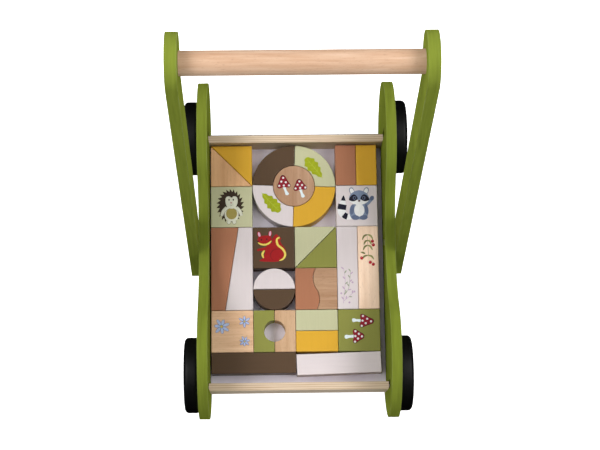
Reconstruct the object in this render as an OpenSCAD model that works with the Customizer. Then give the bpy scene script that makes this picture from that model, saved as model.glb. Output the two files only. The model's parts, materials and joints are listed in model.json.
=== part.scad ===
// Push-along baby walker with a tray of loose wooden blocks.
// +Z is up, +Y points to the handle end, and the origin is on the floor under the
// middle of the walker.

/* [Side panels] */
// Thickness of a side panel
panel_t = 12; // [10:1:15]
// Radius of the round lobe at each end of a side panel
lobe_r = 71.5; // [70:0.5:74]
// Distance from the middle of the walker to a lobe's centre
lobe_y = 129.5; // [126:0.5:134]
// Height of the lobe centres above the floor
lobe_z = 88; // [86:1:92]
// Height of the waist's top edge, midway between the lobes
waist_top_z = 102; // [98:1:110]
// Height of the waist's bottom edge, midway between the lobes
waist_low_z = 26; // [22:1:32]

/* [Tray] */
// Inside width of the tray
tray_w = 208; // [206:1:212]
// Inside length of the tray
tray_l = 288; // [286:1:292]
// Position of the tray's front inner face
tray_front_y = -159.5; // [-161:0.5:-158]
// Height of the tray floor's top face
floor_top_z = 56; // [54:1:58]
// Thickness of the tray floor
floor_t = 6; // [4:0.5:6]
// Thickness of an end board
board_t = 9; // [8:0.5:10]
// Height of an end board's top edge above the tray floor
board_rise = 35; // [30:1:40]

/* [Handle] */
// Diameter of the handle bar
bar_d = 24; // [20:1:28]
// Position of the handle bar's axis
bar_y = 102.5; // [90:0.5:110]
// Height of the handle bar's axis
bar_z = 508; // [480:1:520]
// Diameter of the round head at the top of a handle arm
head_d = 59.4; // [50:0.2:64]
// Width of a handle arm below its head
arm_w = 37; // [34:0.5:46]
// Thickness of a handle arm
arm_t = 12; // [11:1:15]
// Backward lean of the arms from upright, in degrees
arm_lean = 11.1; // [8:0.1:14]

/* [Wheels] */
// Outside diameter of a wheel
wheel_d = 90; // [80:1:92]
// Width of a wheel
wheel_w = 18; // [17:1:22]
// Distance between the two axles
wheelbase = 291; // [280:1:300]
// Diameter of the wheel disc inside the tyre
disc_d = 74; // [66:1:76]
// Radius of the tyre's shoulders
shoulder_r = 5; // [2:0.5:6]
// Diameter of the steel axles
axle_d = 8; // [6:0.5:8]

/* [Blocks] */
// Side of the square that every block is a share or a multiple of
unit = 50; // [46:0.5:50.5]
// Thickness of a block
block_t = 25; // [20:1:30]
// Gap between neighbouring blocks
block_gap = 0.4; // [0.3:0.1:1]
// Turn of the four ring blocks together, in degrees
ring_turn = -2; // [-5:0.5:5]
// Turn of the white bar at the front, in degrees
bar_turn = 1.6; // [0:0.1:2]

/* [Hidden] */

$fn = 96;
eps = 1;

// Colours
green_paint = [0.55, 0.62, 0.22];
beech = [0.87, 0.70, 0.54];
plywood = [0.85, 0.75, 0.62];
lilac = [0.70, 0.68, 0.75];
steel = [0.72, 0.73, 0.75];
black = [0.08, 0.08, 0.09];
dark_brown = [0.30, 0.23, 0.18];
terracotta = [0.63, 0.42, 0.31];
yellow = [0.80, 0.62, 0.18];
light_green = [0.76, 0.79, 0.60];
leaf_green = [0.54, 0.57, 0.27];
pale_pink = [0.87, 0.82, 0.82];
natural = [0.83, 0.68, 0.52];

// Frame
half_w = tray_w / 2;
outer_x = half_w + panel_t;
floor_low_z = floor_top_z - floor_t;
board_low_z = floor_low_z - 2;
board_top_z = floor_top_z + board_rise;
tray_rear_y = tray_front_y + tray_l;

// Arcs that join the two lobes: each touches both lobes and passes through the waist
function waist_arc_r(drop) = (lobe_y * lobe_y + drop * drop - lobe_r * lobe_r) / (2 * (lobe_r - drop));
top_arc_r = waist_arc_r(waist_top_z - lobe_z);
low_arc_r = waist_arc_r(lobe_z - waist_low_z);
top_arc_z = waist_top_z + top_arc_r;
low_arc_z = waist_low_z - low_arc_r;
top_share = lobe_r / (lobe_r + top_arc_r);
low_share = lobe_r / (lobe_r + low_arc_r);
top_touch = [lobe_y * (1 - top_share), lobe_z + (top_arc_z - lobe_z) * top_share];
low_touch = [lobe_y * (1 - low_share), lobe_z + (low_arc_z - lobe_z) * low_share];

// Grooves in the panels for the end boards and the floor
floor_groove_d = 3;
board_groove_d = 2.5;
board_groove_top_z = board_top_z + 34;
board_reach = 1;
board_half_l = half_w + board_reach;

// Middle of each end board's thickness
board_mid_y = [tray_front_y - board_t / 2, tray_rear_y + board_t / 2];

// Handle arms: the front edge touches the head, and a fillet joins the rear edge to it
bar_socket_d = 5;
arm_fillet_r = 8;
arm_up = [sin(arm_lean), cos(arm_lean)];
arm_front = [-cos(arm_lean), sin(arm_lean)];
head = [bar_y, bar_z];
head_r = head_d / 2;
arm_rear = head_r - arm_w;
// Point of an arm's side, at a distance in front of the head's centre and one above it
function arm_point(front, above) = head + front * arm_front + above * arm_up;
// Point of an arm's side at a height, at a distance in front of the arm's long axis through the head
function arm_at_height(front, z) =
    arm_point(front, (z - head[1] - front * arm_front[1]) / arm_up[1]);

// Wheels and axles
axle_y = wheelbase / 2;
axle_z = wheel_d / 2;
washer_t = 1;
washer_d = 20;
wheel_x = outer_x + 1.2;
hub_w = 13.5;
hub_d = 26;
web_low = 2.5;
web_high = 13.2;
rim_low = 1;
rim_t = 7;
axle_clearance = 0.08;
cap_d = 15;
cap_h = 4;
cap_x = wheel_x + hub_w + 0.3;
axle_half_l = cap_x + cap_h - 1.1;

// Screws and bolts
screw_d = 4;
screw_head_d = 7;
screw_head_h = 3;
screw_sink = 0.4;
screw_l = 32;
frame_screw_z = [floor_top_z + 6, board_top_z - 8];
bolt_d = 5;
bolt_head_d = 11;
bolt_head_h = 4;
bolt_sink = 0.5;
nut_d = 8;
nut_l = 9;
arm_bolt_at = [for (z = [80, 43]) arm_at_height(head_r - arm_w / 2, z)];
hex_key_d = 4;
hex_key_depth = 2;

// Blocks
half_gap = block_gap / 2;
block_x = -102.75;
block_y = -147.8;
ring_centre = [2, 4.5];
wave_rise = 3.7;
wave_half = unit / 4;
wave_r = (wave_half * wave_half + wave_rise * wave_rise) / (2 * wave_rise);
arch_r = 12.5;
wedge_wide = 0.66;
wedge_narrow = 0.34;

// ---------- helpers ----------

// Draws once as it is, or mirrored to the left side
module on_side(side) {
    if (side > 0) children();
    else mirror([1, 0, 0]) children();
}

// Turns an outline drawn in Y and Z into a plate that starts at x0
module plate(x0, t) {
    translate([x0, 0, 0]) rotate([90, 0, 90]) linear_extrude(height = t) children();
}

// Round bar along X from x0, on the axis through y and z
module bar_x(x0, len, d, y, z) {
    translate([x0, y, z]) rotate([0, 90, 0]) cylinder(h = len, d = d);
}

// Hexagonal bar along X, for key sockets
module hex_x(x0, len, d, y, z) {
    translate([x0, y, z]) rotate([0, 90, 0]) cylinder(h = len, d = d, $fn = 6);
}

// ---------- frame ----------

// Board between the lobe centres, cut by the two arcs
module waist_outline() {
    difference() {
        polygon([
            [-lobe_y, lobe_z], [-top_touch[0], top_touch[1]], [top_touch[0], top_touch[1]],
            [lobe_y, lobe_z], [low_touch[0], low_touch[1]], [-low_touch[0], low_touch[1]]
        ]);
        translate([0, top_arc_z]) circle(r = top_arc_r, $fn = 360);
        translate([0, low_arc_z]) circle(r = low_arc_r, $fn = 1440);
    }
}

// Groove that one end board's end sits in, open towards the tray
module board_groove(y0) {
    translate([half_w - eps, y0, board_low_z])
        cube([eps + board_groove_d, board_t, board_groove_top_z - board_low_z]);
}

module floor_groove() {
    translate([half_w - eps, tray_front_y - floor_groove_d, floor_low_z])
        cube([eps + floor_groove_d, tray_l + 2 * floor_groove_d, floor_t]);
}

module side_panel() {
    screw_seat = screw_head_h + screw_sink;
    color(green_paint) difference() {
        union() {
            plate(half_w, panel_t) waist_outline();
            for (side = [-1, 1]) bar_x(half_w, panel_t, 2 * lobe_r, side * lobe_y, lobe_z);
        }
        board_groove(tray_front_y - board_t);
        board_groove(tray_rear_y);
        floor_groove();
        for (side = [-1, 1]) bar_x(half_w - eps, panel_t + 2 * eps, axle_d, side * axle_y, axle_z);
        for (y = board_mid_y, z = frame_screw_z) {
            bar_x(half_w - eps, panel_t + 2 * eps, screw_d, y, z);
            bar_x(outer_x - screw_seat, screw_seat + eps, screw_head_d, y, z);
        }
        for (at = arm_bolt_at) {
            bar_x(half_w - eps, panel_t + 2 * eps, bolt_d, at[0], at[1]);
            bar_x(half_w - eps, nut_l + eps, nut_d, at[0], at[1]);
        }
    }
}

module end_board(y0, groove_y0) {
    color(plywood) difference() {
        translate([-board_half_l, y0, board_low_z])
            cube([2 * board_half_l, board_t, board_top_z - board_low_z]);
        translate([-board_half_l - eps, groove_y0, floor_low_z])
            cube([2 * (board_half_l + eps), floor_groove_d + eps, floor_t]);
        for (side = [-1, 1], z = frame_screw_z) on_side(side)
            bar_x(outer_x - screw_sink - screw_l, screw_l, screw_d, y0 + board_t / 2, z);
    }
}

module front_board() {
    end_board(tray_front_y - board_t, tray_front_y - floor_groove_d);
}

module rear_board() {
    end_board(tray_rear_y, tray_rear_y - eps);
}

module tray_floor() {
    color(lilac) translate([-half_w - floor_groove_d, tray_front_y - floor_groove_d, floor_low_z])
        cube([tray_w + 2 * floor_groove_d, tray_l + 2 * floor_groove_d, floor_t]);
}

// ---------- handle ----------

module arm_outline() {
    fillet_front = arm_rear - arm_fillet_r;
    fillet_drop = sqrt(pow(head_r + arm_fillet_r, 2) - pow(fillet_front, 2));
    fillet_at = arm_point(fillet_front, -fillet_drop);
    polygon([
        arm_point(head_r, 0), arm_at_height(head_r, waist_low_z),
        arm_at_height(arm_rear, waist_low_z), arm_point(arm_rear, 0)
    ]);
    translate(head) circle(r = head_r);
    difference() {
        polygon([arm_point(arm_rear + eps, -fillet_drop), fillet_at, head]);
        translate(fillet_at) circle(r = arm_fillet_r);
    }
}

module handle_arm() {
    screw_seat = screw_head_h + screw_sink;
    bolt_seat = bolt_head_h + bolt_sink;
    face_x = outer_x + arm_t;
    color(green_paint) difference() {
        plate(outer_x, arm_t) arm_outline();
        bar_x(outer_x - eps, bar_socket_d + eps, bar_d, bar_y, bar_z);
        bar_x(outer_x - eps, arm_t + 2 * eps, screw_d, bar_y, bar_z);
        bar_x(face_x - screw_seat, screw_seat + eps, screw_head_d, bar_y, bar_z);
        for (at = arm_bolt_at) {
            bar_x(outer_x - eps, arm_t + 2 * eps, bolt_d, at[0], at[1]);
            bar_x(face_x - bolt_seat, bolt_seat + eps, bolt_head_d, at[0], at[1]);
        }
    }
}

module handle_bar() {
    half_l = outer_x + bar_socket_d;
    color(beech) difference() {
        bar_x(-half_l, 2 * half_l, bar_d, bar_y, bar_z);
        for (side = [-1, 1]) on_side(side)
            bar_x(outer_x + arm_t - screw_sink - screw_l, screw_l, screw_d, bar_y, bar_z);
    }
}

// ---------- fasteners ----------

// Headed screw along X whose head ends at face_x less its sink
module screw(face_x, y, z) {
    end_x = face_x - screw_sink;
    color(steel) difference() {
        union() {
            bar_x(end_x - screw_l, screw_l, screw_d, y, z);
            bar_x(end_x - screw_head_h, screw_head_h, screw_head_d, y, z);
        }
        hex_x(end_x - hex_key_depth, hex_key_depth + eps, hex_key_d, y, z);
    }
}

module frame_screws() {
    for (side = [-1, 1], y = board_mid_y, z = frame_screw_z) on_side(side) screw(outer_x, y, z);
}

module handle_screws() {
    for (side = [-1, 1]) on_side(side) screw(outer_x + arm_t, bar_y, bar_z);
}

module arm_bolts() {
    end_x = outer_x + arm_t - bolt_sink;
    tip_x = half_w + 3;
    color(steel) for (side = [-1, 1], at = arm_bolt_at) on_side(side) difference() {
        union() {
            bar_x(tip_x, end_x - tip_x, bolt_d, at[0], at[1]);
            bar_x(end_x - bolt_head_h, bolt_head_h, bolt_head_d, at[0], at[1]);
        }
        hex_x(end_x - hex_key_depth, hex_key_depth + eps, hex_key_d, at[0], at[1]);
    }
}

module arm_nuts() {
    color(steel) for (side = [-1, 1], at = arm_bolt_at) on_side(side) difference() {
        bar_x(half_w, nut_l, nut_d, at[0], at[1]);
        bar_x(half_w + 3, nut_l, bolt_d, at[0], at[1]);
        hex_x(half_w - eps, hex_key_depth + eps, hex_key_d, at[0], at[1]);
    }
}

// ---------- wheels ----------

module axle(y) {
    color(steel) bar_x(-axle_half_l, 2 * axle_half_l, axle_d, y, axle_z);
}

module axle_caps() {
    chamfer = 1.2;
    color(steel) for (side = [-1, 1], y = [-axle_y, axle_y]) on_side(side)
        translate([cap_x, y, axle_z]) rotate([0, 90, 0]) difference() {
            rotate_extrude() polygon([
                [0, 0], [cap_d / 2, 0], [cap_d / 2, cap_h - chamfer],
                [cap_d / 2 - chamfer, cap_h], [0, cap_h]
            ]);
            translate([0, 0, -eps]) cylinder(h = eps + cap_h - 1, d = axle_d);
        }
}

module wheel_washers() {
    color(steel) for (side = [-1, 1], y = [-axle_y, axle_y]) on_side(side) difference() {
        bar_x(outer_x, washer_t, washer_d, y, axle_z);
        bar_x(outer_x - eps, washer_t + 2 * eps, axle_d, y, axle_z);
    }
}

// Places a wheel part, drawn round Z with its inner face at z = 0, on an axle end
module on_axle(side, y) {
    on_side(side) translate([wheel_x, y, axle_z]) rotate([0, 90, 0]) children();
}

module wheel_disc(side, y) {
    disc_r = disc_d / 2;
    rim_r = disc_r - rim_t;
    hub_r = hub_d / 2;
    bore_r = axle_d / 2 + axle_clearance;
    color(black) on_axle(side, y) rotate_extrude() polygon([
        [bore_r, 0], [hub_r, 0], [hub_r, web_low], [rim_r, web_low],
        [rim_r, rim_low], [disc_r, rim_low], [disc_r, wheel_w - rim_low],
        [rim_r, wheel_w - rim_low], [rim_r, web_high], [hub_r, web_high],
        [hub_r, hub_w], [bore_r, hub_w]
    ]);
}

module tyre(side, y) {
    tread_r = wheel_d / 2;
    core_r = tread_r - shoulder_r;
    color(black) on_axle(side, y) difference() {
        rotate_extrude() union() {
            translate([disc_d / 4, 0]) square([core_r - disc_d / 4, wheel_w]);
            translate([core_r, shoulder_r]) square([shoulder_r, wheel_w - 2 * shoulder_r]);
            translate([core_r, shoulder_r]) circle(r = shoulder_r);
            translate([core_r, wheel_w - shoulder_r]) circle(r = shoulder_r);
        }
        translate([0, 0, -eps]) cylinder(h = wheel_w + 2 * eps, d = disc_d);
    }
}

// ---------- blocks ----------

// Stands an outline up as a block with its corner at column x and row y of the grid
module block(x, y, tint) {
    color(tint) translate([block_x + x * unit, block_y + y * unit, floor_top_z])
        linear_extrude(height = block_t) children();
}

// Rectangle of w by d units, less the gap
module slab(w, d) {
    translate([half_gap, half_gap]) square([w * unit - block_gap, d * unit - block_gap]);
}

// Half of a unit square on the side of one corner: corner [0, 0] is front left
module triangle(corner) {
    leg = unit - half_gap * (2 + sqrt(2));
    translate([corner[0] * unit, corner[1] * unit]) mirror([corner[0], 0, 0]) mirror([0, corner[1], 0])
        translate([half_gap, half_gap]) polygon([[0, 0], [leg, 0], [0, leg]]);
}

// Quarter of a ring in the quadrant that starts at the given angle
module ring_quarter(start) {
    rotate(start + ring_turn) intersection() {
        difference() {
            circle(r = unit - half_gap);
            circle(r = unit / 2 + half_gap);
        }
        translate([half_gap, half_gap]) square(unit);
    }
}

module half_disc(side) {
    intersection() {
        circle(r = unit / 2 - half_gap);
        translate([-unit / 2, side > 0 ? half_gap : -unit / 2 - half_gap]) square([unit, unit / 2]);
    }
}

// Circle of the wave's rear bulge (part = 1, to the left) or front bulge (part = -1)
module wave_circle(part, r) {
    translate([unit / 2 + part * (wave_r - wave_rise), unit / 2 + part * wave_half]) circle(r = r);
}

// Block on one side of the wave: side -1 is the left one, 1 the right one
module wave_half_block(side) {
    intersection() {
        slab(1, 1);
        union() {
            difference() {
                translate([side < 0 ? 0 : unit / 2 + half_gap, 0]) square([unit / 2 - half_gap, unit]);
                wave_circle(-side, wave_r + half_gap);
            }
            intersection() {
                wave_circle(side, wave_r - half_gap);
                translate([0, side > 0 ? unit / 2 : 0]) square([unit, unit / 2]);
                translate([side > 0 ? 0 : unit / 2 - half_gap - eps, 0])
                    square([unit / 2 + half_gap + eps, unit]);
            }
        }
    }
}

module arch_block(side) {
    difference() {
        slab(0.5, 1);
        translate([side > 0 ? 0 : unit / 2, unit / 2]) circle(r = arch_r);
    }
}

// Tapered block that fills one side of a unit-wide, two-unit-long cell
module wedge(side) {
    rear = wedge_wide * unit + side * half_gap;
    front = wedge_narrow * unit + side * half_gap;
    edge = side < 0 ? half_gap : unit - half_gap;
    polygon([
        [edge, half_gap], [front, half_gap],
        [rear, 2 * unit - half_gap], [edge, 2 * unit - half_gap]
    ]);
}

module block_bar_white() {
    color(pale_pink)
        translate([block_x + 4 * unit - half_gap, block_y + unit / 2 - half_gap, floor_top_z])
        rotate(bar_turn)
        translate([-2 * unit + block_gap, -unit / 2 + block_gap, 0])
        cube([2 * unit - block_gap, unit / 2 - block_gap, block_t]);
}

// ---------- what each node draws ----------

on_side(-1) side_panel();  // left_side_panel
on_side(1) side_panel();  // right_side_panel
front_board();
rear_board();
tray_floor();
on_side(-1) handle_arm();  // left_handle_arm
on_side(1) handle_arm();  // right_handle_arm
handle_bar();
axle(-axle_y);  // front_axle
axle(axle_y);  // rear_axle
axle_caps();
wheel_washers();
frame_screws();
arm_bolts();
arm_nuts();
handle_screws();
wheel_disc(-1, -axle_y);  // front_left_wheel
wheel_disc(1, -axle_y);  // front_right_wheel
wheel_disc(-1, axle_y);  // rear_left_wheel
wheel_disc(1, axle_y);  // rear_right_wheel
tyre(-1, -axle_y);  // front_left_tyre
tyre(1, -axle_y);  // front_right_tyre
tyre(-1, axle_y);  // rear_left_tyre
tyre(1, axle_y);  // rear_right_tyre

// Rear rows
block(0, 4.5, natural) triangle([0, 0]);  // block_triangle_natural
block(0, 4.5, yellow) triangle([1, 1]);  // block_triangle_yellow
block(2, 4.5, dark_brown) ring_quarter(90);  // block_ring_brown
block(2, 4.5, light_green) ring_quarter(0);  // block_ring_leaf_green
block(2, 4.5, pale_pink) ring_quarter(180);  // block_ring_leaf_white
block(2, 4.5, yellow) ring_quarter(270);  // block_ring_yellow
block(2, 4.5, natural) circle(r = unit / 2 - half_gap);  // block_disc_mushrooms
block(3, 4.5, terracotta) slab(0.5, 1);  // block_half_terracotta
block(3.5, 4.5, yellow) slab(0.5, 1);  // block_half_yellow_rear
block(0, 3.5, light_green) slab(1, 1);  // block_square_hedgehog
block(3, 3.5, pale_pink) slab(1, 1);  // block_square_raccoon

// Middle rows
block(0, 1.5, terracotta) wedge(-1);  // block_wedge_terracotta
block(0, 1.5, pale_pink) wedge(1);  // block_wedge_white
block(1, 2.5, dark_brown) slab(1, 1);  // block_square_squirrel
block(2, 2.5, light_green) triangle([0, 1]);  // block_triangle_light_green
block(2, 2.5, leaf_green) triangle([1, 0]);  // block_triangle_green
block(3, 1.5, pale_pink) slab(0.5, 2);  // block_tall_sprig
block(3.5, 1.5, natural) slab(0.5, 2);  // block_tall_berries
block(1.5, 2, pale_pink) half_disc(1);  // block_half_disc_white
block(1.5, 2, dark_brown) half_disc(-1);  // block_half_disc_brown
block(2, 1.5, terracotta) wave_half_block(-1);  // block_wave_terracotta
block(2, 1.5, natural) wave_half_block(1);  // block_wave_natural

// Front rows
block(0, 0.5, natural) slab(1, 1);  // block_square_flowers
block(1, 0.5, leaf_green) arch_block(-1);  // block_arch_green
block(1.5, 0.5, natural) arch_block(1);  // block_arch_natural
block(2, 1, light_green) slab(1, 0.5);  // block_half_light_green
block(2, 0.5, yellow) slab(1, 0.5);  // block_half_yellow_front
block(3, 0.5, leaf_green) slab(1, 1);  // block_square_mushrooms
block(0, 0, dark_brown) slab(2, 0.5);  // block_bar_brown
block_bar_white();
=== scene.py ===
"""Looks of the baby walker: rounded edges, wood, paint, rubber and steel surfaces, and
the printed pictures on its wooden blocks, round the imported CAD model."""

import json
import math

import bmesh
import bpy
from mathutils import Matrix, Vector


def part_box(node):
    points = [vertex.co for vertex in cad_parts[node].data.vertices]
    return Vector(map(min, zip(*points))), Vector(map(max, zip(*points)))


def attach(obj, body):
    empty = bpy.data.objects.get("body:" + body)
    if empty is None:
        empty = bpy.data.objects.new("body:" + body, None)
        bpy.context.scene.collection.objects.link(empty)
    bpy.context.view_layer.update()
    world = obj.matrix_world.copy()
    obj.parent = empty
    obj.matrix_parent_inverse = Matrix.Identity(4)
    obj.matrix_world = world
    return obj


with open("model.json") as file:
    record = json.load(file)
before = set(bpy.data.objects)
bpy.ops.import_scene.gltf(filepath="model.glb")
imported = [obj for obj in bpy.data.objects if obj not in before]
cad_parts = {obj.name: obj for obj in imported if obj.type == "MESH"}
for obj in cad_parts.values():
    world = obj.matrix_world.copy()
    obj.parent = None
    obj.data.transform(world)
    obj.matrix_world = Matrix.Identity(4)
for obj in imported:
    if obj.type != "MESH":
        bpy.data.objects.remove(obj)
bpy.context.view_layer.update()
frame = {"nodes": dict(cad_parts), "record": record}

MM = 0.001
nodes = frame["nodes"]
node_body = {n: body for body, members in frame["record"]["behaviour"]["bodies"].items() for n in members}

# ---------- camera, floor and light ----------

# The camera's place in metres, its turn in degrees, and its lens in millimetres
CAMERA_AT = (-0.0306, -0.3261, 1.9297)
CAMERA_TURN = (10.892, -0.917, -0.792)
CAMERA_LENS = 94.5
CAMERA_SENSOR = 36
FLOOR_SIZE = 16.0
FLOOR_GLOW = 0.93
BACKDROP_RADIUS = 7.0
BACKDROP_GLOW = 0.94
# Soft boxes: where each stands, how wide it is and its power in watts
SOFT_BOXES = (
    ((0.0, 0.3, 2.7), 1.4, 10.5),
    ((-1.35, 0.1, 1.9), 1.1, 17.5),
    ((1.35, 0.1, 1.9), 1.1, 17.5),
    ((-1.2, -0.7, 1.9), 1.1, 12),
    ((1.2, -0.7, 1.9), 1.1, 12),
    ((-1.2, 0.9, 1.9), 1.1, 13),
    ((1.2, 0.9, 1.9), 1.1, 13),
)
# Brightness of the light bounced up from below, and how softly it ends at the horizon
BOUNCE = 1.06
HORIZON = 0.02


def srgb(red, green, blue):
    """A colour given as it looks on a screen, 0 to 255, as the linear values that shaders use."""
    values = []
    for channel in (red, green, blue):
        share = channel / 255
        values.append(share / 12.92 if share <= 0.04045 else ((share + 0.055) / 1.055) ** 2.4)
    return (*values, 1.0)


def add_object(name, data):
    made = bpy.data.objects.new(name, data)
    bpy.context.scene.collection.objects.link(made)
    return made


def make_camera():
    data = bpy.data.cameras.new("camera")
    data.sensor_width = CAMERA_SENSOR
    data.lens = CAMERA_LENS
    camera = add_object("camera", data)
    camera.location = CAMERA_AT
    camera.rotation_euler = [math.radians(turn) for turn in CAMERA_TURN]
    bpy.context.scene.camera = camera


def add_stage(name, mesh, glow):
    """A plain pale surface behind the walker that casts no light on it."""
    surface = Surface(name + "_white")
    surface.constant("Roughness", 0.9)
    surface.constant("Base Color", srgb(250, 250, 250))
    surface.constant("Emission Color", srgb(255, 255, 255))
    surface.constant("Emission Strength", glow)
    mesh.materials.append(surface.material)
    stage = add_object(name, mesh)
    stage.visible_diffuse = False
    stage.visible_glossy = False
    return stage


def make_floor():
    half = FLOOR_SIZE / 2
    mesh = bpy.data.meshes.new("floor")
    corners = [(-half, -half, 0), (half, -half, 0), (half, half, 0), (-half, half, 0)]
    mesh.from_pydata(corners, [], [(0, 1, 2, 3)])
    add_stage("floor", mesh, FLOOR_GLOW)


def make_backdrop():
    """A pale dome far round the walker, so that every view has a plain background."""
    bm = bmesh.new()
    bmesh.ops.create_uvsphere(bm, u_segments=48, v_segments=24, radius=BACKDROP_RADIUS)
    bmesh.ops.reverse_faces(bm, faces=bm.faces)
    mesh = bpy.data.meshes.new("backdrop")
    bm.to_mesh(mesh)
    bm.free()
    add_stage("backdrop", mesh, BACKDROP_GLOW).visible_shadow = False


def make_soft_box(name, place, size, watts):
    data = bpy.data.lights.new(name, "AREA")
    data.energy = watts
    data.size = size
    box = add_object(name, data)
    box.location = place
    box.rotation_euler = (-Vector(place)).to_track_quat("-Z", "Y").to_euler()


def make_sky():
    """Plain surroundings that light the walker from below only, as a pale floor would."""
    world = bpy.data.worlds.new("sky")
    bpy.context.scene.world = world
    world.use_nodes = True
    tree = world.node_tree
    direction = tree.nodes.new("ShaderNodeTexCoord").outputs["Generated"]
    split = tree.nodes.new("ShaderNodeSeparateXYZ")
    tree.links.new(direction, split.inputs["Vector"])
    ramp = tree.nodes.new("ShaderNodeMapRange")
    ramp.inputs["From Min"].default_value = HORIZON
    ramp.inputs["From Max"].default_value = -HORIZON
    ramp.inputs["To Max"].default_value = BOUNCE
    tree.links.new(split.outputs["Z"], ramp.inputs["Value"])
    background = tree.nodes["Background"]
    background.inputs["Color"].default_value = (1, 1, 1, 1)
    tree.links.new(ramp.outputs["Result"], background.inputs["Strength"])
    world.cycles_visibility.glossy = False


def make_light():
    for number, (place, size, watts) in enumerate(SOFT_BOXES):
        make_soft_box(f"soft_box_{number + 1}", place, size, watts)
    make_sky()
    bpy.context.scene.view_settings.view_transform = "Standard"


# ---------- materials ----------


class Surface:
    """A material being made: its shader, and short ways to add nodes to its tree.

    shine is the shader's specular level. constant sets one value for the whole surface, and drive
    links a pattern to the shader.
    """

    def __init__(self, name, shine=0.5):
        self.material = bpy.data.materials.new(name)
        self.material.use_nodes = True
        self.tree = self.material.node_tree
        self.shader = self.tree.nodes["Principled BSDF"]
        self.constant("Specular IOR Level", shine)

    def constant(self, socket, value):
        self.shader.inputs[socket].default_value = value

    def drive(self, socket, value):
        self.tree.links.new(value, self.shader.inputs[socket])

    def feed(self, node, socket, value):
        if isinstance(value, bpy.types.NodeSocket):
            self.tree.links.new(value, node.inputs[socket])
        else:
            node.inputs[socket].default_value = value

    def node(self, kind, inputs, **settings):
        made = self.tree.nodes.new("ShaderNode" + kind)
        for setting, value in settings.items():
            setattr(made, setting, value)
        for socket, value in inputs.items():
            self.feed(made, socket, value)
        return made

    def math(self, operation, first, second):
        return self.node("Math", {0: first, 1: second}, operation=operation).outputs[0]

    def remap(self, value, low, high, to_low=0.0, to_high=1.0):
        inputs = {"Value": value, "From Min": low, "From Max": high, "To Min": to_low, "To Max": to_high}
        return self.node("MapRange", inputs).outputs["Result"]

    def mix(self, share, first, second):
        return self.node("Mix", {0: share, 6: first, 7: second}, data_type="RGBA").outputs[2]

    def coords(self, stretch=(1, 1, 1), shift=(0, 0, 0)):
        """The piece's own coordinates in metres, moved and scaled along each axis."""
        place = self.node("TexCoord", {}).outputs["Object"]
        inputs = {"Vector": place, "Location": shift, "Scale": stretch}
        return self.node("Mapping", inputs).outputs["Vector"]

    def noise(self, vector, scale, detail, distortion=0.0):
        inputs = {"Vector": vector, "Scale": scale, "Detail": detail, "Distortion": distortion}
        return self.node("TexNoise", inputs).outputs["Fac"]

    def blend(self, first, first_share, second, second_share):
        """Adds two patterns, each worth its share of the sum."""
        first = self.remap(first, 0.3, 0.7, 0.0, first_share)
        return self.math("ADD", first, self.remap(second, 0.3, 0.7, 0.0, second_share))

    def edges(self, radius):
        """1 along the piece's edges and 0 on its open faces."""
        rounded = self.node("Bevel", {"Radius": radius}, samples=4).outputs["Normal"]
        true = self.node("NewGeometry", {}).outputs["Normal"]
        same = self.node("VectorMath", {0: rounded, 1: true}, operation="DOT_PRODUCT").outputs["Value"]
        return self.remap(same, 1.0, 0.86)

    def bump(self, height, depth, strength):
        inputs = {"Height": height, "Distance": depth, "Strength": strength}
        self.drive("Normal", self.node("Bump", inputs).outputs["Normal"])


def scaled(colour, factor):
    return (*[min(1.0, channel * factor) for channel in colour[:3]], 1.0)


def grain_stretch(along, squeeze=0.07):
    """Squeezes the grain direction, so that spots become streaks that run along it."""
    return [squeeze if axis == along else 1.0 for axis in "xyz"]


# Boards that stand along Y and Z show their plies as lines along their edges
BOARD_STRETCH = (1.0, 0.05, 0.05)
# How strongly the grain shows through the paint of the frame's boards and of the blocks
BOARD_STREAKS = 0.16
BLOCK_STREAKS = 0.025
# How much each kind of surface shines, as the shader's specular level
BOARD_SHINE = 0.0
BLOCK_SHINE = 0.1
WOOD_SHINE = 0.06
PLY_SHINE = 0.15
LAMINATE_SHINE = 0.2
BLACK_SHINE = 0.18
INK_SHINE = 0.15


def painted(name, colour, stretch, seed, streaks, shine):
    """Paint on wood: the grain shows faintly through, and edges have worn a little paler."""
    surface = Surface(name, shine)
    lines = surface.coords(stretch, (seed * 0.37, seed * 0.11, seed * 0.23))
    streak = surface.noise(lines, scale=420, detail=4.0)
    cloud = surface.noise(surface.coords(shift=(seed, 0, 0)), scale=26, detail=2.0)
    tone = surface.remap(streak, 0.3, 0.7)
    body = surface.mix(tone, scaled(colour, 1 - streaks), scaled(colour, 1 + streaks))
    body = surface.mix(surface.remap(cloud, 0.35, 0.65, 0.0, 0.5), body, scaled(colour, 1.03))
    worn = surface.math("MULTIPLY", surface.edges(1.4 * MM), surface.remap(cloud, 0.35, 0.7, 0.05, 0.35))
    pale = (*[channel * 0.72 + 0.22 for channel in colour[:3]], 1.0)
    surface.drive("Base Color", surface.mix(worn, body, pale))
    surface.drive("Roughness", surface.remap(streak, 0.2, 0.8, 0.34, 0.5))
    pores = surface.noise(surface.coords(), scale=1800, detail=2.0)
    height = surface.math("ADD", streak, surface.math("MULTIPLY", pores, 0.35))
    surface.bump(height, 0.12 * MM, strength=0.5)
    return surface.material


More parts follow.
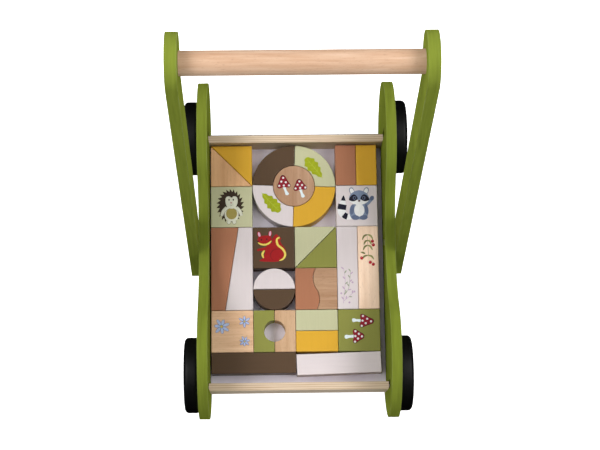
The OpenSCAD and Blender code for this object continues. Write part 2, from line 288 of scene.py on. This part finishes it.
def bare_wood(name, light, dark, along, seed, roughness=0.55, ring_scale=70):
    """Sanded wood: broad growth bands, fine streaks and short dark pores along the grain."""
    surface = Surface(name, WOOD_SHINE)
    shift = (seed * 0.53, seed * 0.29, seed * 0.41)
    lines = surface.coords(grain_stretch(along), shift)
    band = surface.noise(lines, ring_scale, detail=2.0, distortion=1.2)
    streak = surface.noise(lines, scale=460, detail=4.0)
    dashes = surface.coords(grain_stretch(along, 0.16), shift)
    pore = surface.remap(surface.noise(dashes, scale=1500, detail=1.0), 0.62, 0.72)
    body = surface.mix(surface.blend(band, 0.62, streak, 0.38), light, dark)
    body = surface.mix(surface.math("MULTIPLY", pore, 0.3), body, scaled(dark, 0.6))
    surface.drive("Base Color", body)
    rough = surface.remap(streak, 0.2, 0.8, roughness - 0.06, roughness + 0.1)
    surface.drive("Roughness", rough)
    height = surface.math("SUBTRACT", streak, surface.math("MULTIPLY", pore, 0.6))
    surface.bump(height, 0.1 * MM, strength=0.6)
    return surface.material


def plywood(name, light, dark, low_y, high_y, plies):
    """Plywood whose plies are stacked along Y: bands on its edges, and grain on its faces."""
    surface = Surface(name, PLY_SHINE)
    surface.constant("Roughness", 0.6)
    place = surface.node("TexCoord", {}).outputs["Object"]
    y = surface.node("SeparateXYZ", {"Vector": place}).outputs["Y"]
    wander = surface.noise(surface.coords((0.2, 1, 1)), scale=60, detail=2.0)
    depth = surface.remap(y, low_y, high_y, 0.0, plies / 2)
    wave = surface.math("ADD", depth, surface.math("MULTIPLY", wander, 0.16))
    ply = surface.remap(surface.math("PINGPONG", wave, 0.5), 0.2, 0.3)
    streak = surface.noise(surface.coords((0.06, 1, 1)), scale=420, detail=4.0)
    figure = surface.noise(surface.coords((0.1, 1, 1)), scale=55, detail=2.0, distortion=1.5)
    tone = surface.blend(streak, 0.3, figure, 0.2)
    tone = surface.math("ADD", tone, surface.math("MULTIPLY", ply, 0.5))
    surface.drive("Base Color", surface.mix(tone, light, dark))
    height = surface.math("ADD", streak, surface.math("MULTIPLY", ply, 0.4))
    surface.bump(height, 0.12 * MM, strength=0.6)
    return surface.material


def laminate(name, colour):
    """Smooth laminated board with a faint pressed texture."""
    surface = Surface(name, LAMINATE_SHINE)
    speckle = surface.noise(surface.coords(), scale=900, detail=2.0)
    cloud = surface.noise(surface.coords((1, 0.3, 1)), scale=35, detail=2.0)
    tone = surface.remap(cloud, 0.3, 0.7, 0.0, 0.7)
    body = surface.mix(tone, scaled(colour, 0.93), scaled(colour, 1.05))
    speck = surface.remap(speckle, 0.55, 0.75, 0.0, 0.25)
    surface.drive("Base Color", surface.mix(speck, body, scaled(colour, 0.8)))
    surface.drive("Roughness", surface.remap(cloud, 0.3, 0.7, 0.42, 0.56))
    surface.bump(speckle, 0.05 * MM, strength=0.5)
    return surface.material


def black_plastic(name, colour, roughness, grain, depth):
    """Moulded black plastic or rubber: a fine spark texture and slight uneven gloss."""
    surface = Surface(name, BLACK_SHINE)
    fine = surface.noise(surface.coords(), grain, detail=3.0)
    cloud = surface.noise(surface.coords(), scale=45, detail=2.0)
    body = surface.mix(surface.remap(fine, 0.35, 0.7), scaled(colour, 0.8), scaled(colour, 1.35))
    dust = surface.math("MULTIPLY", surface.edges(1.0 * MM), 0.12)
    surface.drive("Base Color", surface.mix(dust, body, DUST))
    rough = surface.remap(cloud, 0.3, 0.7, roughness - 0.06, roughness + 0.08)
    surface.drive("Roughness", rough)
    surface.bump(fine, depth, strength=0.7)
    return surface.material


def zinc_steel(name):
    """Bright zinc on turned steel, with fine rings of tool marks and dull patches."""
    surface = Surface(name)
    surface.constant("Metallic", 1.0)
    marks = surface.noise(surface.coords((1, 0.05, 0.05)), scale=2600, detail=3.0)
    cloud = surface.noise(surface.coords(), scale=160, detail=3.0)
    body = surface.mix(surface.remap(cloud, 0.3, 0.7), ZINC_DULL, ZINC_BRIGHT)
    surface.drive("Base Color", body)
    surface.drive("Roughness", surface.remap(cloud, 0.3, 0.7, 0.24, 0.42))
    surface.bump(marks, 0.03 * MM, strength=0.6)
    return surface.material


def ink(name, colour):
    """Printed ink, thin enough for the wood's grain to show."""
    surface = Surface("ink_" + name, INK_SHINE)
    surface.constant("Roughness", 0.45)
    streak = surface.noise(surface.coords((1, 0.12, 1)), scale=700, detail=3.0)
    cloud = surface.noise(surface.coords(), scale=170, detail=2.0)
    tone = surface.blend(streak, 0.5, cloud, 0.5)
    surface.drive("Base Color", surface.mix(tone, scaled(colour, 0.88), scaled(colour, 1.1)))
    surface.bump(streak, 0.03 * MM, strength=0.4)
    return surface.material


# ---------- CAD nodes: rounded edges and materials ----------

GREEN_BOARDS = ("left_side_panel", "right_side_panel", "left_handle_arm", "right_handle_arm")
# Arms and side panels wear one green paint: the arms' copy is painted lighter and paler, as painted light
# for their heads, which stand higher and nearer the lamps
PANEL_GREEN = srgb(110, 122, 43)
ARM_GREEN_PAINTED_LIGHT = srgb(115, 127, 47)
BEECH_LIGHT = srgb(208, 178, 153)
BEECH_DARK = srgb(184, 145, 115)
PLY_LIGHT = srgb(220, 203, 179)
PLY_DARK = srgb(178, 148, 119)
TRAY_LILAC = srgb(246, 240, 255)
WHEEL_BLACK = srgb(8, 8, 9)
TYRE_BLACK = srgb(7, 7, 8)
DUST = srgb(40, 40, 42)
ZINC_DULL = srgb(176, 178, 182)
ZINC_BRIGHT = srgb(205, 206, 208)
BLOCK_PAINTS = {
    "yellow": srgb(206, 158, 48),
    "brown": srgb(82, 63, 46),
    "light_green": srgb(183, 182, 147),
    "white": srgb(207, 197, 198),
    "terracotta": srgb(163, 109, 81),
    "green": srgb(132, 133, 65),
}
# Light and dark tone of each block left as bare wood
BARE_WOODS = {
    "block_triangle_natural": (srgb(224, 179, 135), srgb(198, 150, 109)),
    "block_disc_mushrooms": (srgb(187, 152, 125), srgb(165, 126, 97)),
    "block_tall_berries": (srgb(249, 222, 199), srgb(225, 191, 163)),
    "block_wave_natural": (srgb(188, 154, 125), srgb(158, 119, 90)),
    "block_square_flowers": (srgb(232, 196, 161), srgb(203, 159, 124)),
    "block_arch_natural": (srgb(203, 170, 138), srgb(177, 139, 104)),
}
# The paint of every other block
PAINTED_BLOCKS = {
    "yellow": ("triangle_yellow", "ring_yellow", "half_yellow_rear", "half_yellow_front"),
    "brown": ("ring_brown", "square_squirrel", "half_disc_brown", "bar_brown"),
    "light_green": ("ring_leaf_green", "square_hedgehog", "triangle_light_green", "half_light_green"),
    "white": (
        "ring_leaf_white", "square_raccoon", "wedge_white", "tall_sprig", "half_disc_white", "bar_white",
    ),
    "terracotta": ("half_terracotta", "wedge_terracotta", "wave_terracotta"),
    "green": ("triangle_green", "arch_green", "square_mushrooms"),
}
# Blocks whose grain runs across the tray; the others' grain runs along it
GRAIN_ACROSS = ("block_square_flowers", "block_wave_natural", "block_bar_brown", "block_bar_white")


# Corners closer than this are one corner, and faces within this angle are one flat face
JOIN_DISTANCE = 0.01 * MM
FLAT_ANGLE = math.radians(0.3)
# Edges sharper than this are rounded
SHARP_ANGLE = math.radians(35)


def prepare_group():
    """Geometry nodes that join a CAD mesh's loose corners and drop its stored normals."""
    group = bpy.data.node_groups.new("join_corners", "GeometryNodeTree")
    group.interface.new_socket("Geometry", in_out="INPUT", socket_type="NodeSocketGeometry")
    group.interface.new_socket("Geometry", in_out="OUTPUT", socket_type="NodeSocketGeometry")
    start = group.nodes.new("NodeGroupInput")
    end = group.nodes.new("NodeGroupOutput")
    drop = group.nodes.new("GeometryNodeRemoveAttribute")
    drop.inputs["Name"].default_value = "custom_normal"
    merge = group.nodes.new("GeometryNodeMergeByDistance")
    merge.inputs["Distance"].default_value = JOIN_DISTANCE
    group.links.new(start.outputs["Geometry"], drop.inputs["Geometry"])
    group.links.new(drop.outputs["Geometry"], merge.inputs["Geometry"])
    group.links.new(merge.outputs["Geometry"], end.inputs["Geometry"])
    return group


def round_edges(node, group, width, segments=3):
    """Rounds a CAD node's sharp edges, to a width in metres, with modifiers only."""
    made = nodes[node]
    made.modifiers.new("join", "NODES").node_group = group
    flat = made.modifiers.new("flat", "DECIMATE")
    flat.decimate_type = "DISSOLVE"
    flat.angle_limit = FLAT_ANGLE
    bevel = made.modifiers.new("bevel", "BEVEL")
    bevel.width = width
    bevel.segments = segments
    bevel.limit_method = "ANGLE"
    bevel.angle_limit = SHARP_ANGLE
    bevel.harden_normals = True
    bevel.use_clamp_overlap = True


def dress(node, material):
    """Gives a CAD node its one material."""
    mesh = nodes[node].data
    mesh.materials.clear()
    mesh.materials.append(material)


def dress_frame(group):
    for number, node in enumerate(GREEN_BOARDS):
        # The arms take the lighter copy of the green, which is painted light
        colour = ARM_GREEN_PAINTED_LIGHT if "arm" in node else PANEL_GREEN
        paint = painted("green_" + node, colour, BOARD_STRETCH, number + 1, BOARD_STREAKS, BOARD_SHINE)
        dress(node, paint)
        round_edges(node, group, 1.3 * MM)
    for node in ("front_board", "rear_board"):
        low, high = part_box(node)
        dress(node, plywood("plywood_" + node, PLY_LIGHT, PLY_DARK, low.y, high.y, plies=7))
        round_edges(node, group, 0.7 * MM)
    dress("tray_floor", laminate("lilac_laminate", TRAY_LILAC))
    round_edges("tray_floor", group, 0.3 * MM, 2)
    beech = bare_wood("beech_bar", BEECH_LIGHT, BEECH_DARK, "x", 3, roughness=0.5, ring_scale=90)
    dress("handle_bar", beech)
    round_edges("handle_bar", group, 0.8 * MM)
    steel = zinc_steel("zinc_steel")
    for node in ("front_axle", "rear_axle", "axle_caps", "wheel_washers"):
        dress(node, steel)
        round_edges(node, group, 0.25 * MM, 2)
    for node in ("frame_screws", "arm_bolts", "arm_nuts", "handle_screws"):
        dress(node, steel)
        round_edges(node, group, 0.3 * MM, 2)


def dress_wheels(group):
    plastic = black_plastic("black_plastic", WHEEL_BLACK, 0.4, grain=1300, depth=0.05 * MM)
    rubber = black_plastic("black_rubber", TYRE_BLACK, 0.5, grain=900, depth=0.08 * MM)
    for corner in ("front_left", "front_right", "rear_left", "rear_right"):
        dress(corner + "_wheel", plastic)
        dress(corner + "_tyre", rubber)
        round_edges(corner + "_wheel", group, 0.6 * MM, 2)
        round_edges(corner + "_tyre", group, 0.4 * MM, 2)


def dress_blocks(group):
    paint_of = {}
    for paint, blocks in PAINTED_BLOCKS.items():
        for block in blocks:
            paint_of["block_" + block] = BLOCK_PAINTS[paint]
    for number, node in enumerate(sorted(n for n in nodes if n.startswith("block_"))):
        along = "x" if node in GRAIN_ACROSS else "y"
        if node in BARE_WOODS:
            light, dark = BARE_WOODS[node]
            material = bare_wood("wood_" + node, light, dark, along, number)
        else:
            stretch = grain_stretch(along)
            colour = paint_of[node]
            material = painted("paint_" + node, colour, stretch, number, BLOCK_STREAKS, BLOCK_SHINE)
        dress(node, material)
        round_edges(node, group, 0.9 * MM)


# ---------- printed pictures, drawn in millimetres from the middle of a block's top ----------

INKS = {
    "spines": srgb(52, 38, 26),
    "cream": srgb(204, 204, 186),
    "shade": srgb(120, 116, 98),
    "olive": srgb(150, 136, 72),
    "dark": srgb(26, 22, 24),
    "rose": srgb(176, 140, 132),
    "blue_grey": srgb(116, 130, 156),
    "slate": srgb(90, 102, 130),
    "navy": srgb(20, 20, 38),
    "white": srgb(222, 222, 222),
    "red": srgb(154, 18, 22),
    "dull_red": srgb(118, 14, 20),
    "deep_red": srgb(136, 20, 38),
    "wine": srgb(60, 8, 18),
    "pale_yellow": srgb(222, 202, 92),
    "pink": srgb(206, 160, 184),
    "lime": srgb(148, 158, 16),
    "lime_vein": srgb(166, 176, 48),
    "stem": srgb(216, 226, 230),
    "petal": srgb(170, 186, 222),
    "petal_edge": srgb(88, 94, 138),
    "flower_eye": srgb(204, 180, 72),
    "faint_green": srgb(150, 156, 134),
    "faint_pink": srgb(180, 154, 178),
    "leaf": srgb(112, 112, 66),
    "leaf_light": srgb(146, 146, 90),
    "stem_green": srgb(120, 112, 70),
    "berry": srgb(172, 34, 40),
}
# In millimetres: how high the first film of ink stands, how much each later one adds, and how far
# the films reach down into the block
INK_BASE = 0.04
INK_STEP = 0.015
INK_ROOT = 0.1


def ellipse(x, y, rx, ry, turn=0.0, steps=28):
    """An ellipse's outline, its middle at x, y and turned by some degrees."""
    cos, sin = math.cos(math.radians(turn)), math.sin(math.radians(turn))
    points = []
    for i in range(steps):
        angle = 2 * math.pi * i / steps
        u, v = rx * math.cos(angle), ry * math.sin(angle)
        points.append((x + u * cos - v * sin, y + u * sin + v * cos))
    return points


def curve_between(a, b, c, d, t):
    """Point at t of the smooth curve from b to c whose neighbours are a and d."""
    return 0.5 * (2 * b + (c - a) * t + (2 * a - 5 * b + 4 * c - d) * t**2 + (3 * b - a - 3 * c + d) * t**3)


def smooth(points, closed, steps=7):
    """A smooth line through the points, with some steps from each to the next."""
    path = [Vector(p) for p in points]
    count = len(path) if closed else len(path) - 1
    out = []
    for i in range(count):
        if closed:
            a, b, c, d = (path[(i + k) % len(path)] for k in (-1, 0, 1, 2))
        else:
            a, b, c, d = (path[min(max(i + k, 0), len(path) - 1)] for k in (-1, 0, 1, 2))
        out.extend(curve_between(a, b, c, d, step / steps) for step in range(steps))
    if not closed:
        out.append(path[-1])
    return out


def loop(*points):
    """A smooth closed outline through the points."""
    return [tuple(p) for p in smooth(points, True)]


def stroke(points, start_width, end_width, middle_width=None):
    """A brush stroke along a smooth line, as its outline."""
    path = smooth(points, False)
    last = len(path) - 1
    left, right = [], []
    for i, p in enumerate(path):
        t = i / last
        width = start_width + (end_width - start_width) * t
        if middle_width is not None:
            width += (middle_width - (start_width + end_width) / 2) * 4 * t * (1 - t)
        ahead = (path[min(i + 1, last)] - path[max(i - 1, 0)]).normalized()
        side = Vector((-ahead.y, ahead.x)) * width / 2
        left.append(tuple(p + side))
        right.append(tuple(p - side))
    return left + right[::-1]


def turned(points, x, y, turn, size=1.0):
    """The points made larger, turned by some degrees, then moved."""
    cos, sin = math.cos(math.radians(turn)) * size, math.sin(math.radians(turn)) * size
    return [(x + u * cos - v * sin, y + u * sin + v * cos) for u, v in points]


def signed_area(outline):
    pairs = zip(outline, outline[1:] + outline[:1])
    return sum(a[0] * b[1] - b[0] * a[1] for a, b in pairs) / 2


def film(bm, outline, origin, top, material_index):
    """One closed film of ink: its outline in millimetres from the origin, rooted in the block."""
    if signed_area(outline) < 0:
        outline = outline[::-1]
    low = [bm.verts.new(origin + Vector((x, y, -INK_ROOT)) * MM) for x, y in outline]
    high = [bm.verts.new(origin + Vector((x, y, top)) * MM) for x, y in outline]
    faces = [bm.faces.new(high), bm.faces.new(low[::-1])]
    for i in range(len(outline)):
        j = (i + 1) % len(outline)
        faces.append(bm.faces.new((low[i], low[j], high[j], high[i])))
    for face in faces:
        face.material_index = material_index


def print_picture(name, node, shapes):
    """Prints shapes, each an ink and an outline in millimetres from the block's middle, on its top."""
    low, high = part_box(node)
    origin = Vector(((low.x + high.x) / 2, (low.y + high.y) / 2, high.z))
    inks = sorted({ink_name for ink_name, outline in shapes})
    mesh = bpy.data.meshes.new(name)
    for ink_name in inks:
        mesh.materials.append(ink_materials[ink_name])
    bm = bmesh.new()
    for layer, (ink_name, outline) in enumerate(shapes):
        film(bm, outline, origin, INK_BASE + INK_STEP * layer, inks.index(ink_name))
    bm.to_mesh(mesh)
    bm.free()
    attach(add_object(name, mesh), node_body[node])


def hedgehog():
    """A hedgehog that sits facing forwards, with a ruffled coat of spines round it."""
    spikes = 23
    coat = []
    for i in range(spikes):
        valley = 2 * math.pi * i / spikes
        tip = valley + 0.24
        coat.append((-1.4 + 12.8 * math.cos(valley), 1.0 + 17.4 * math.sin(valley)))
        coat.append((-1.4 + 16.8 * math.cos(tip), 1.0 + 21.2 * math.sin(tip)))
    shapes = [("spines", coat)]
    for side in (-1, 1):
        shapes.append(("shade", ellipse(side * 3.2, -18.4, 2.6, 3.0)))
        shapes.append(("cream", ellipse(side * 3.2, -18.4, 2.1, 2.5)))
    right_flank = [(6.5, -15.6), (8.4, -8.5), (6.4, -1)]
    left_flank = [(-6.4, -1), (-8.4, -8.5), (-6.5, -15.6)]
    shapes.append(("cream", loop((0, -17.6), *right_flank, (0, 1), *left_flank)))
    shapes.append(("olive", ellipse(0, -8.2, 6.6, 7.0)))
    for side in (-1, 1):
        arm = [(side * 5.6, -1.0), (side * 9.6, -5.0), (side * 12.0, -10.8)]
        shapes.append(("shade", stroke(arm, 5.0, 4.0)))
        shapes.append(("cream", stroke(arm, 4.2, 3.2)))
    right_cheek = [(4.8, -0.4), (7.2, 5.4), (6.6, 11.4), (2.8, 12.9)]
    left_cheek = [(-2.8, 12.9), (-6.6, 11.4), (-7.2, 5.4), (-4.8, -0.4)]
    shapes.append(("cream", loop((0, -2.2), *right_cheek, (0, 11.2), *left_cheek)))
    for side in (-1, 1):
        shapes.append(("dark", ellipse(side * 2.6 - 0.4, 8.6, 0.8, 1.1)))
    shapes.append(("rose", ellipse(-0.4, 5.0, 1.3, 1.0)))
    shapes.append(("shade", stroke([(-1.9, 2.6), (-0.4, 1.8), (1.1, 2.6)], 0.3, 0.3, 0.5)))
    return shapes


def raccoon():
    """A raccoon that waves, with a banded tail curled up beside it."""
    middle = 3.0
    tail = [(-6, -14), (-13.6, -12.6), (-18.0, -7.4), (-17.6, -0.8), (-16.2, 5.2), (-15.6, 12.6)]
    shapes = [("white", stroke(tail, 5.0, 1.2, 9.4))]
    path = smooth(tail, False)
    for first, last, width in ((5, 10, 7.4), (17, 24, 10.2)):
        shapes.append(("navy", stroke([path[first], path[(first + last) // 2], path[last]], width, width)))
    shapes.append(("navy", stroke([path[29], path[32], path[35]], 6.0, 0.6)))
    shapes.append(("blue_grey", stroke([(7.6, -1.4), (13.4, 3.4), (18.2, 8.4)], 5.4, 4.4)))
    shapes.append(("slate", ellipse(18.4, 9.0, 2.5, 3.0, -30)))
    right_hip = [(10.6, -15.4), (13.6, -9.0), (11.4, 0)]
    left_hip = [(-6.6, 0), (-8.8, -9.0), (-5.8, -15.4)]
    shapes.append(("blue_grey", loop((middle, -17), *right_hip, (middle, 3), *left_hip)))
    shapes.append(("white", ellipse(middle, -5.6, 6.2, 7.8)))
    for side in (-1, 1):
        shapes.append(("slate", ellipse(middle + side * 8.6, -4.8, 2.3, 6.4, side * 8)))
        shapes.append(("slate", ellipse(middle + side * 5.0, -14.6, 4.9, 2.9, side * 6)))
        shapes.append(("slate", ellipse(middle + side * 8.6, 18.0, 3.0, 4.4, -side * 20)))
        shapes.append(("white", ellipse(middle + side * 8.5, 17.8, 2.3, 3.6, -side * 20)))
    right_brow = [(10.2, 2.6), (15.0, 7.6), (12.2, 14.8)]
    left_brow = [(-6.2, 14.8), (-9.0, 7.6), (-4.2, 2.6)]
    shapes.append(("blue_grey", loop((middle, 0.8), *right_brow, (middle, 18.8), *left_brow)))
    right_jaw = [(9.6, 2.2), (14.2, 6.0), (9.0, 7.4)]
    left_jaw = [(-3.0, 7.4), (-8.2, 6.0), (-3.6, 2.2)]
    shapes.append(("white", loop((middle, 0.6), *right_jaw, (middle, 6.8), *left_jaw)))
    for side in (-1, 1):
        patch = [(1.6, 8.4), (4.6, 13.2), (8.8, 12.8), (12.2, 7.2), (6.6, 5.2)]
        shapes.append(("navy", loop(*[(middle + side * u, v) for u, v in patch])))
        shapes.append(("slate", ellipse(middle + side * 5.6, 9.4, 1.9, 2.2)))
        shapes.append(("dark", ellipse(middle + side * 5.4, 9.3, 1.1, 1.4)))
    shapes.append(("wine", ellipse(middle, 5.7, 1.5, 1.1)))
    return shapes


def squirrel():
    """A red squirrel that holds its paws out, with a pale edge down its raised tail."""
    tail = [(5, -11), (10.4, -5.4), (5.2, 2.2), (2.8, 9.0), (6.4, 13.6)]
    shapes = [("red", stroke(tail, 6.0, 8.0, 9.4))]
    body = [
        (-17, -16), (-4, -17.2), (6, -16.6), (11.5, -12.5), (12.8, -6.5), (8, -0.5),
        (1, 4.5), (-5, 5.5), (-9, 1), (-10.5, -6), (-13, -12.5),
    ]
    shapes.append(("red", loop(*body)))
    edge = [(7.0, 12.2), (3.8, 9.8), (4.8, 3.4), (11.0, -2.4), (13.6, -8.4), (11.0, -13.8), (6.4, -15.6)]
    shapes.append(("pale_yellow", stroke(edge, 1.6, 1.2, 2.6)))
    shapes.append(("dull_red", ellipse(3.2, -8.8, 7.8, 7.2, 20)))
    shapes.append(("red", ellipse(3.8, -9.2, 7.4, 6.8, 20)))
    shapes.append(("pale_yellow", stroke([(-10.8, -2.8), (-13.6, -7.8), (-12.2, -12.6)], 0.8, 0.8, 2.5)))
    shapes.append(("red", stroke([(-4, 0.5), (-11, -1.6), (-18.4, -2.6)], 4.8, 2.6)))
    shapes.append(("red", ellipse(-18.4, -2.8, 1.7, 1.4)))
    for x, y, turn in ((-17.2, 15.6, 16), (-4.2, 16.6, -8)):
        shapes.append(("red", ellipse(x, y, 2.1, 4.0, turn)))
        shapes.append(("pink", ellipse(x, y + 0.3, 1.3, 3.1, turn)))
    head = [
        (-19.4, 8.6), (-17.2, 13.0), (-10.8, 14.6), (-4.6, 14.0),
        (-2.2, 9.4), (-5, 5), (-10.5, 2.6), (-16.8, 4.4),
    ]
    shapes.append(("red", loop(*head)))
    muzzle = [(-18.8, 6.4), (-14, 4.8), (-8.6, 5.0), (-2.6, 8.4), (-5.2, 4.4), (-10.8, 2.4), (-16.4, 3.6)]
    shapes.append(("pale_yellow", loop(*muzzle)))
    for x, y in ((-14.6, 9.6), (-8.2, 10.2)):
        shapes.append(("dark", ellipse(x, y, 0.8, 1.1)))
    shapes.append(("dark", ellipse(-18.6, 7.6, 0.9, 0.8)))
    return shapes


def mushroom(x, y, turn, size, tall, lean):
    """A spotted mushroom that stands up when turn is 0: size is its cap's width."""
    foot = [(0.1 + 0.5 * lean, -0.36), (0.16 + lean, -0.62), (0.02 + lean, -0.72), (-0.12 + lean, -0.64)]
    stem = loop((-0.09, -0.05), (0.1, -0.05), *foot, (-0.08 + 0.5 * lean, -0.36))
    right = [(0.16, 0.9 * tall), (0.32, 0.5 * tall), (0.5, 0.04)]
    left = [(-0.5, 0.04), (-0.32, 0.5 * tall), (-0.16, 0.9 * tall)]
    cap = loop((0, tall), *right, (0.36, -0.12), (0, -0.06), (-0.36, -0.12), *left)
    rim = turned(cap, 0, 0, 0, 1.04)
    parts = [("stem", stem), ("wine", rim), ("deep_red", turned(cap, 0, 0.01, 0, 0.94))]
    spots = ((0.02, 0.78), (-0.16, 0.46), (0.18, 0.36), (-0.36, 0.1), (0.0, 0.08), (0.4, 0.04))
    for u, v in spots:
        parts.append(("white", ellipse(u, v * tall, 0.08, 0.08, 0, 14)))
    return [(ink_name, turned(outline, x, y, turn, size)) for ink_name, outline in parts]


def oak_leaf(x, y, turn, length, width):
    """A gently lobed leaf, broad at its left end and pointed at its right end when turn is 0."""
    steps = 60
    upper, lower = [], []
    for i in range(steps + 1):
        t = i / steps
        half = 0.5 * math.sin(math.pi * t**0.72) ** 0.72 * (1 + 0.15 * math.cos(2 * math.pi * 4.5 * t))
        upper.append(((t - 0.5) * length, half * width))
        lower.append(((t - 0.5) * length, -half * width))
    vein = stroke([(-0.42 * length, 0), (0, 0.03 * width), (0.54 * length, 0)], 0.5, 0.5, 0.9)
    parts = [("lime", upper + lower[-2:0:-1]), ("lime_vein", vein)]
    for share in (-0.26, -0.1, 0.06, 0.2):
        for side in (-1, 1):
            tip = ((share - 0.1) * length, side * 0.3 * width)
            parts.append(("lime_vein", stroke([(share * length, 0), tip], 0.6, 0.2)))
    return [(ink_name, turned(outline, x, y, turn)) for ink_name, outline in parts]


def flower(x, y, radius, petals, turn):
    """A flower with separate petals, long and short in turn, and a yellow eye."""
    shapes = []
    for i in range(petals):
        angle = turn + 360 * i / petals
        reach = radius * (0.94 + 0.06 * (-1) ** i)
        petal = ellipse(0.56 * reach, 0, 0.44 * reach, 0.2 * radius, 0, 18)
        inner = ellipse(0.57 * reach, 0, 0.44 * reach - 0.4, 0.2 * radius - 0.35, 0, 18)
        shapes.append(("petal_edge", turned(petal, x, y, angle)))
        shapes.append(("petal", turned(inner, x, y, angle)))
    shapes.append(("petal_edge", ellipse(x, y, 0.2 * radius, 0.2 * radius, 0, 14)))
    shapes.append(("flower_eye", ellipse(x, y, 0.16 * radius, 0.16 * radius, 0, 14)))
    return shapes


def leafy_stem(path, gap, length, width, ink_names):
    """A thin stem with leaves on alternate sides, gap points of the path apart."""
    line = smooth(path, False)
    shapes = [(ink_names[0], stroke(path, 0.6, 0.4))]
    for number, i in enumerate(range(gap, len(line), gap)):
        ahead = line[i] - line[i - 1]
        heading = math.degrees(math.atan2(ahead.y, ahead.x)) + 42 * (-1) ** number
        leaf = turned(ellipse(length / 2, 0, length / 2, width / 2, 0, 16), line[i].x, line[i].y, heading)
        shapes.append((ink_names[number % len(ink_names)], leaf))
    return shapes


def sprig():
    """A faint flowering twig on the lower half of its block."""
    tints = ("faint_pink", "faint_green")
    shapes = leafy_stem([(-5.5, -43), (-4.5, -30), (-3.0, -16), (-4.5, -2)], 3, 4.4, 1.5, tints)
    shapes += leafy_stem([(-4.5, -33), (0.5, -26), (2.5, -14), (3.6, -5)], 3, 4.2, 1.4, tints[::-1])
    shapes += leafy_stem([(-5, -40), (0, -36), (6.5, -30)], 4, 4.0, 1.4, tints)
    for x, y in ((-8, -31), (7.5, -29), (1.5, -42), (5.6, -18)):
        shapes.append(("faint_pink", ellipse(x, y, 1.2, 1.2, 0, 14)))
    return shapes


def berry_twig():
    """Drooping leaves in pairs with red berries, on the upper half of its block."""
    shapes = [("stem_green", stroke([(-1, 40), (-0.4, 30), (0.2, 20), (0.4, 13)], 0.4, 0.4))]
    for y, spread, drop in ((39.5, 6.6, 6.6), (32.5, 4.6, 5.4), (26.5, 5.6, 6.0), (14.5, 7.2, 5.4)):
        for side, ink_name in ((-1, "leaf"), (1, "leaf_light")):
            bend = (-0.4 + side * 0.6 * spread, y - 0.25 * drop)
            tip = (-0.4 + side * spread, y - drop)
            shapes.append((ink_name, stroke([(-0.4, y), bend, tip], 0.7, 0.3, 2.2)))
    shapes.append(("leaf", stroke([(-3.6, 16.4), (-6.0, 17.6), (-9.0, 18.4)], 0.5, 0.3, 2.2)))
    for x, y in ((5.4, 31.4), (6.4, 27.0), (-8.0, 11.2), (2.2, 6.0), (5.8, 3.6)):
        shapes.append(("berry", ellipse(x, y, 1.9, 2.0, 0, 18)))
        shapes.append(("pink", ellipse(x - 0.5, y + 0.6, 0.4, 0.35, 0, 10)))
    return shapes


def print_blocks():
    print_picture("print_hedgehog", "block_square_hedgehog", hedgehog())
    print_picture("print_raccoon", "block_square_raccoon", raccoon())
    print_picture("print_squirrel", "block_square_squirrel", squirrel())
    pair = mushroom(-12.0, -0.6, 6, 15.4, 0.88, 0.16) + mushroom(7.6, -3.6, 8, 15.6, 0.74, 0.1)
    print_picture("print_mushroom_disc", "block_disc_mushrooms", pair)
    pair = mushroom(2.8, 11.2, -94, 15.6, 0.92, -0.02) + mushroom(-5.8, -7.2, -90, 16.4, 0.68, 0.02)
    print_picture("print_mushroom_square", "block_square_mushrooms", pair)
    print_picture("print_leaf_green", "block_ring_leaf_green", oak_leaf(-1.2, -1.9, -52, 31, 14))
    print_picture("print_leaf_white", "block_ring_leaf_white", oak_leaf(-2.1, 3.9, 133, 31, 14))
    flowers = flower(-12.6, 6.0, 9.9, 7, 20)
    flowers += flower(14.4, 11.8, 7.5, 6, 30)
    flowers += flower(14.4, -11.9, 6.6, 7, 12)
    print_picture("print_flowers", "block_square_flowers", flowers)
    print_picture("print_sprig", "block_tall_sprig", sprig())
    print_picture("print_berries", "block_tall_berries", berry_twig())


make_camera()
make_floor()
make_backdrop()
make_light()
join_corners = prepare_group()
dress_frame(join_corners)
dress_wheels(join_corners)
dress_blocks(join_corners)
ink_materials = {ink_name: ink(ink_name, colour) for ink_name, colour in INKS.items()}
print_blocks()
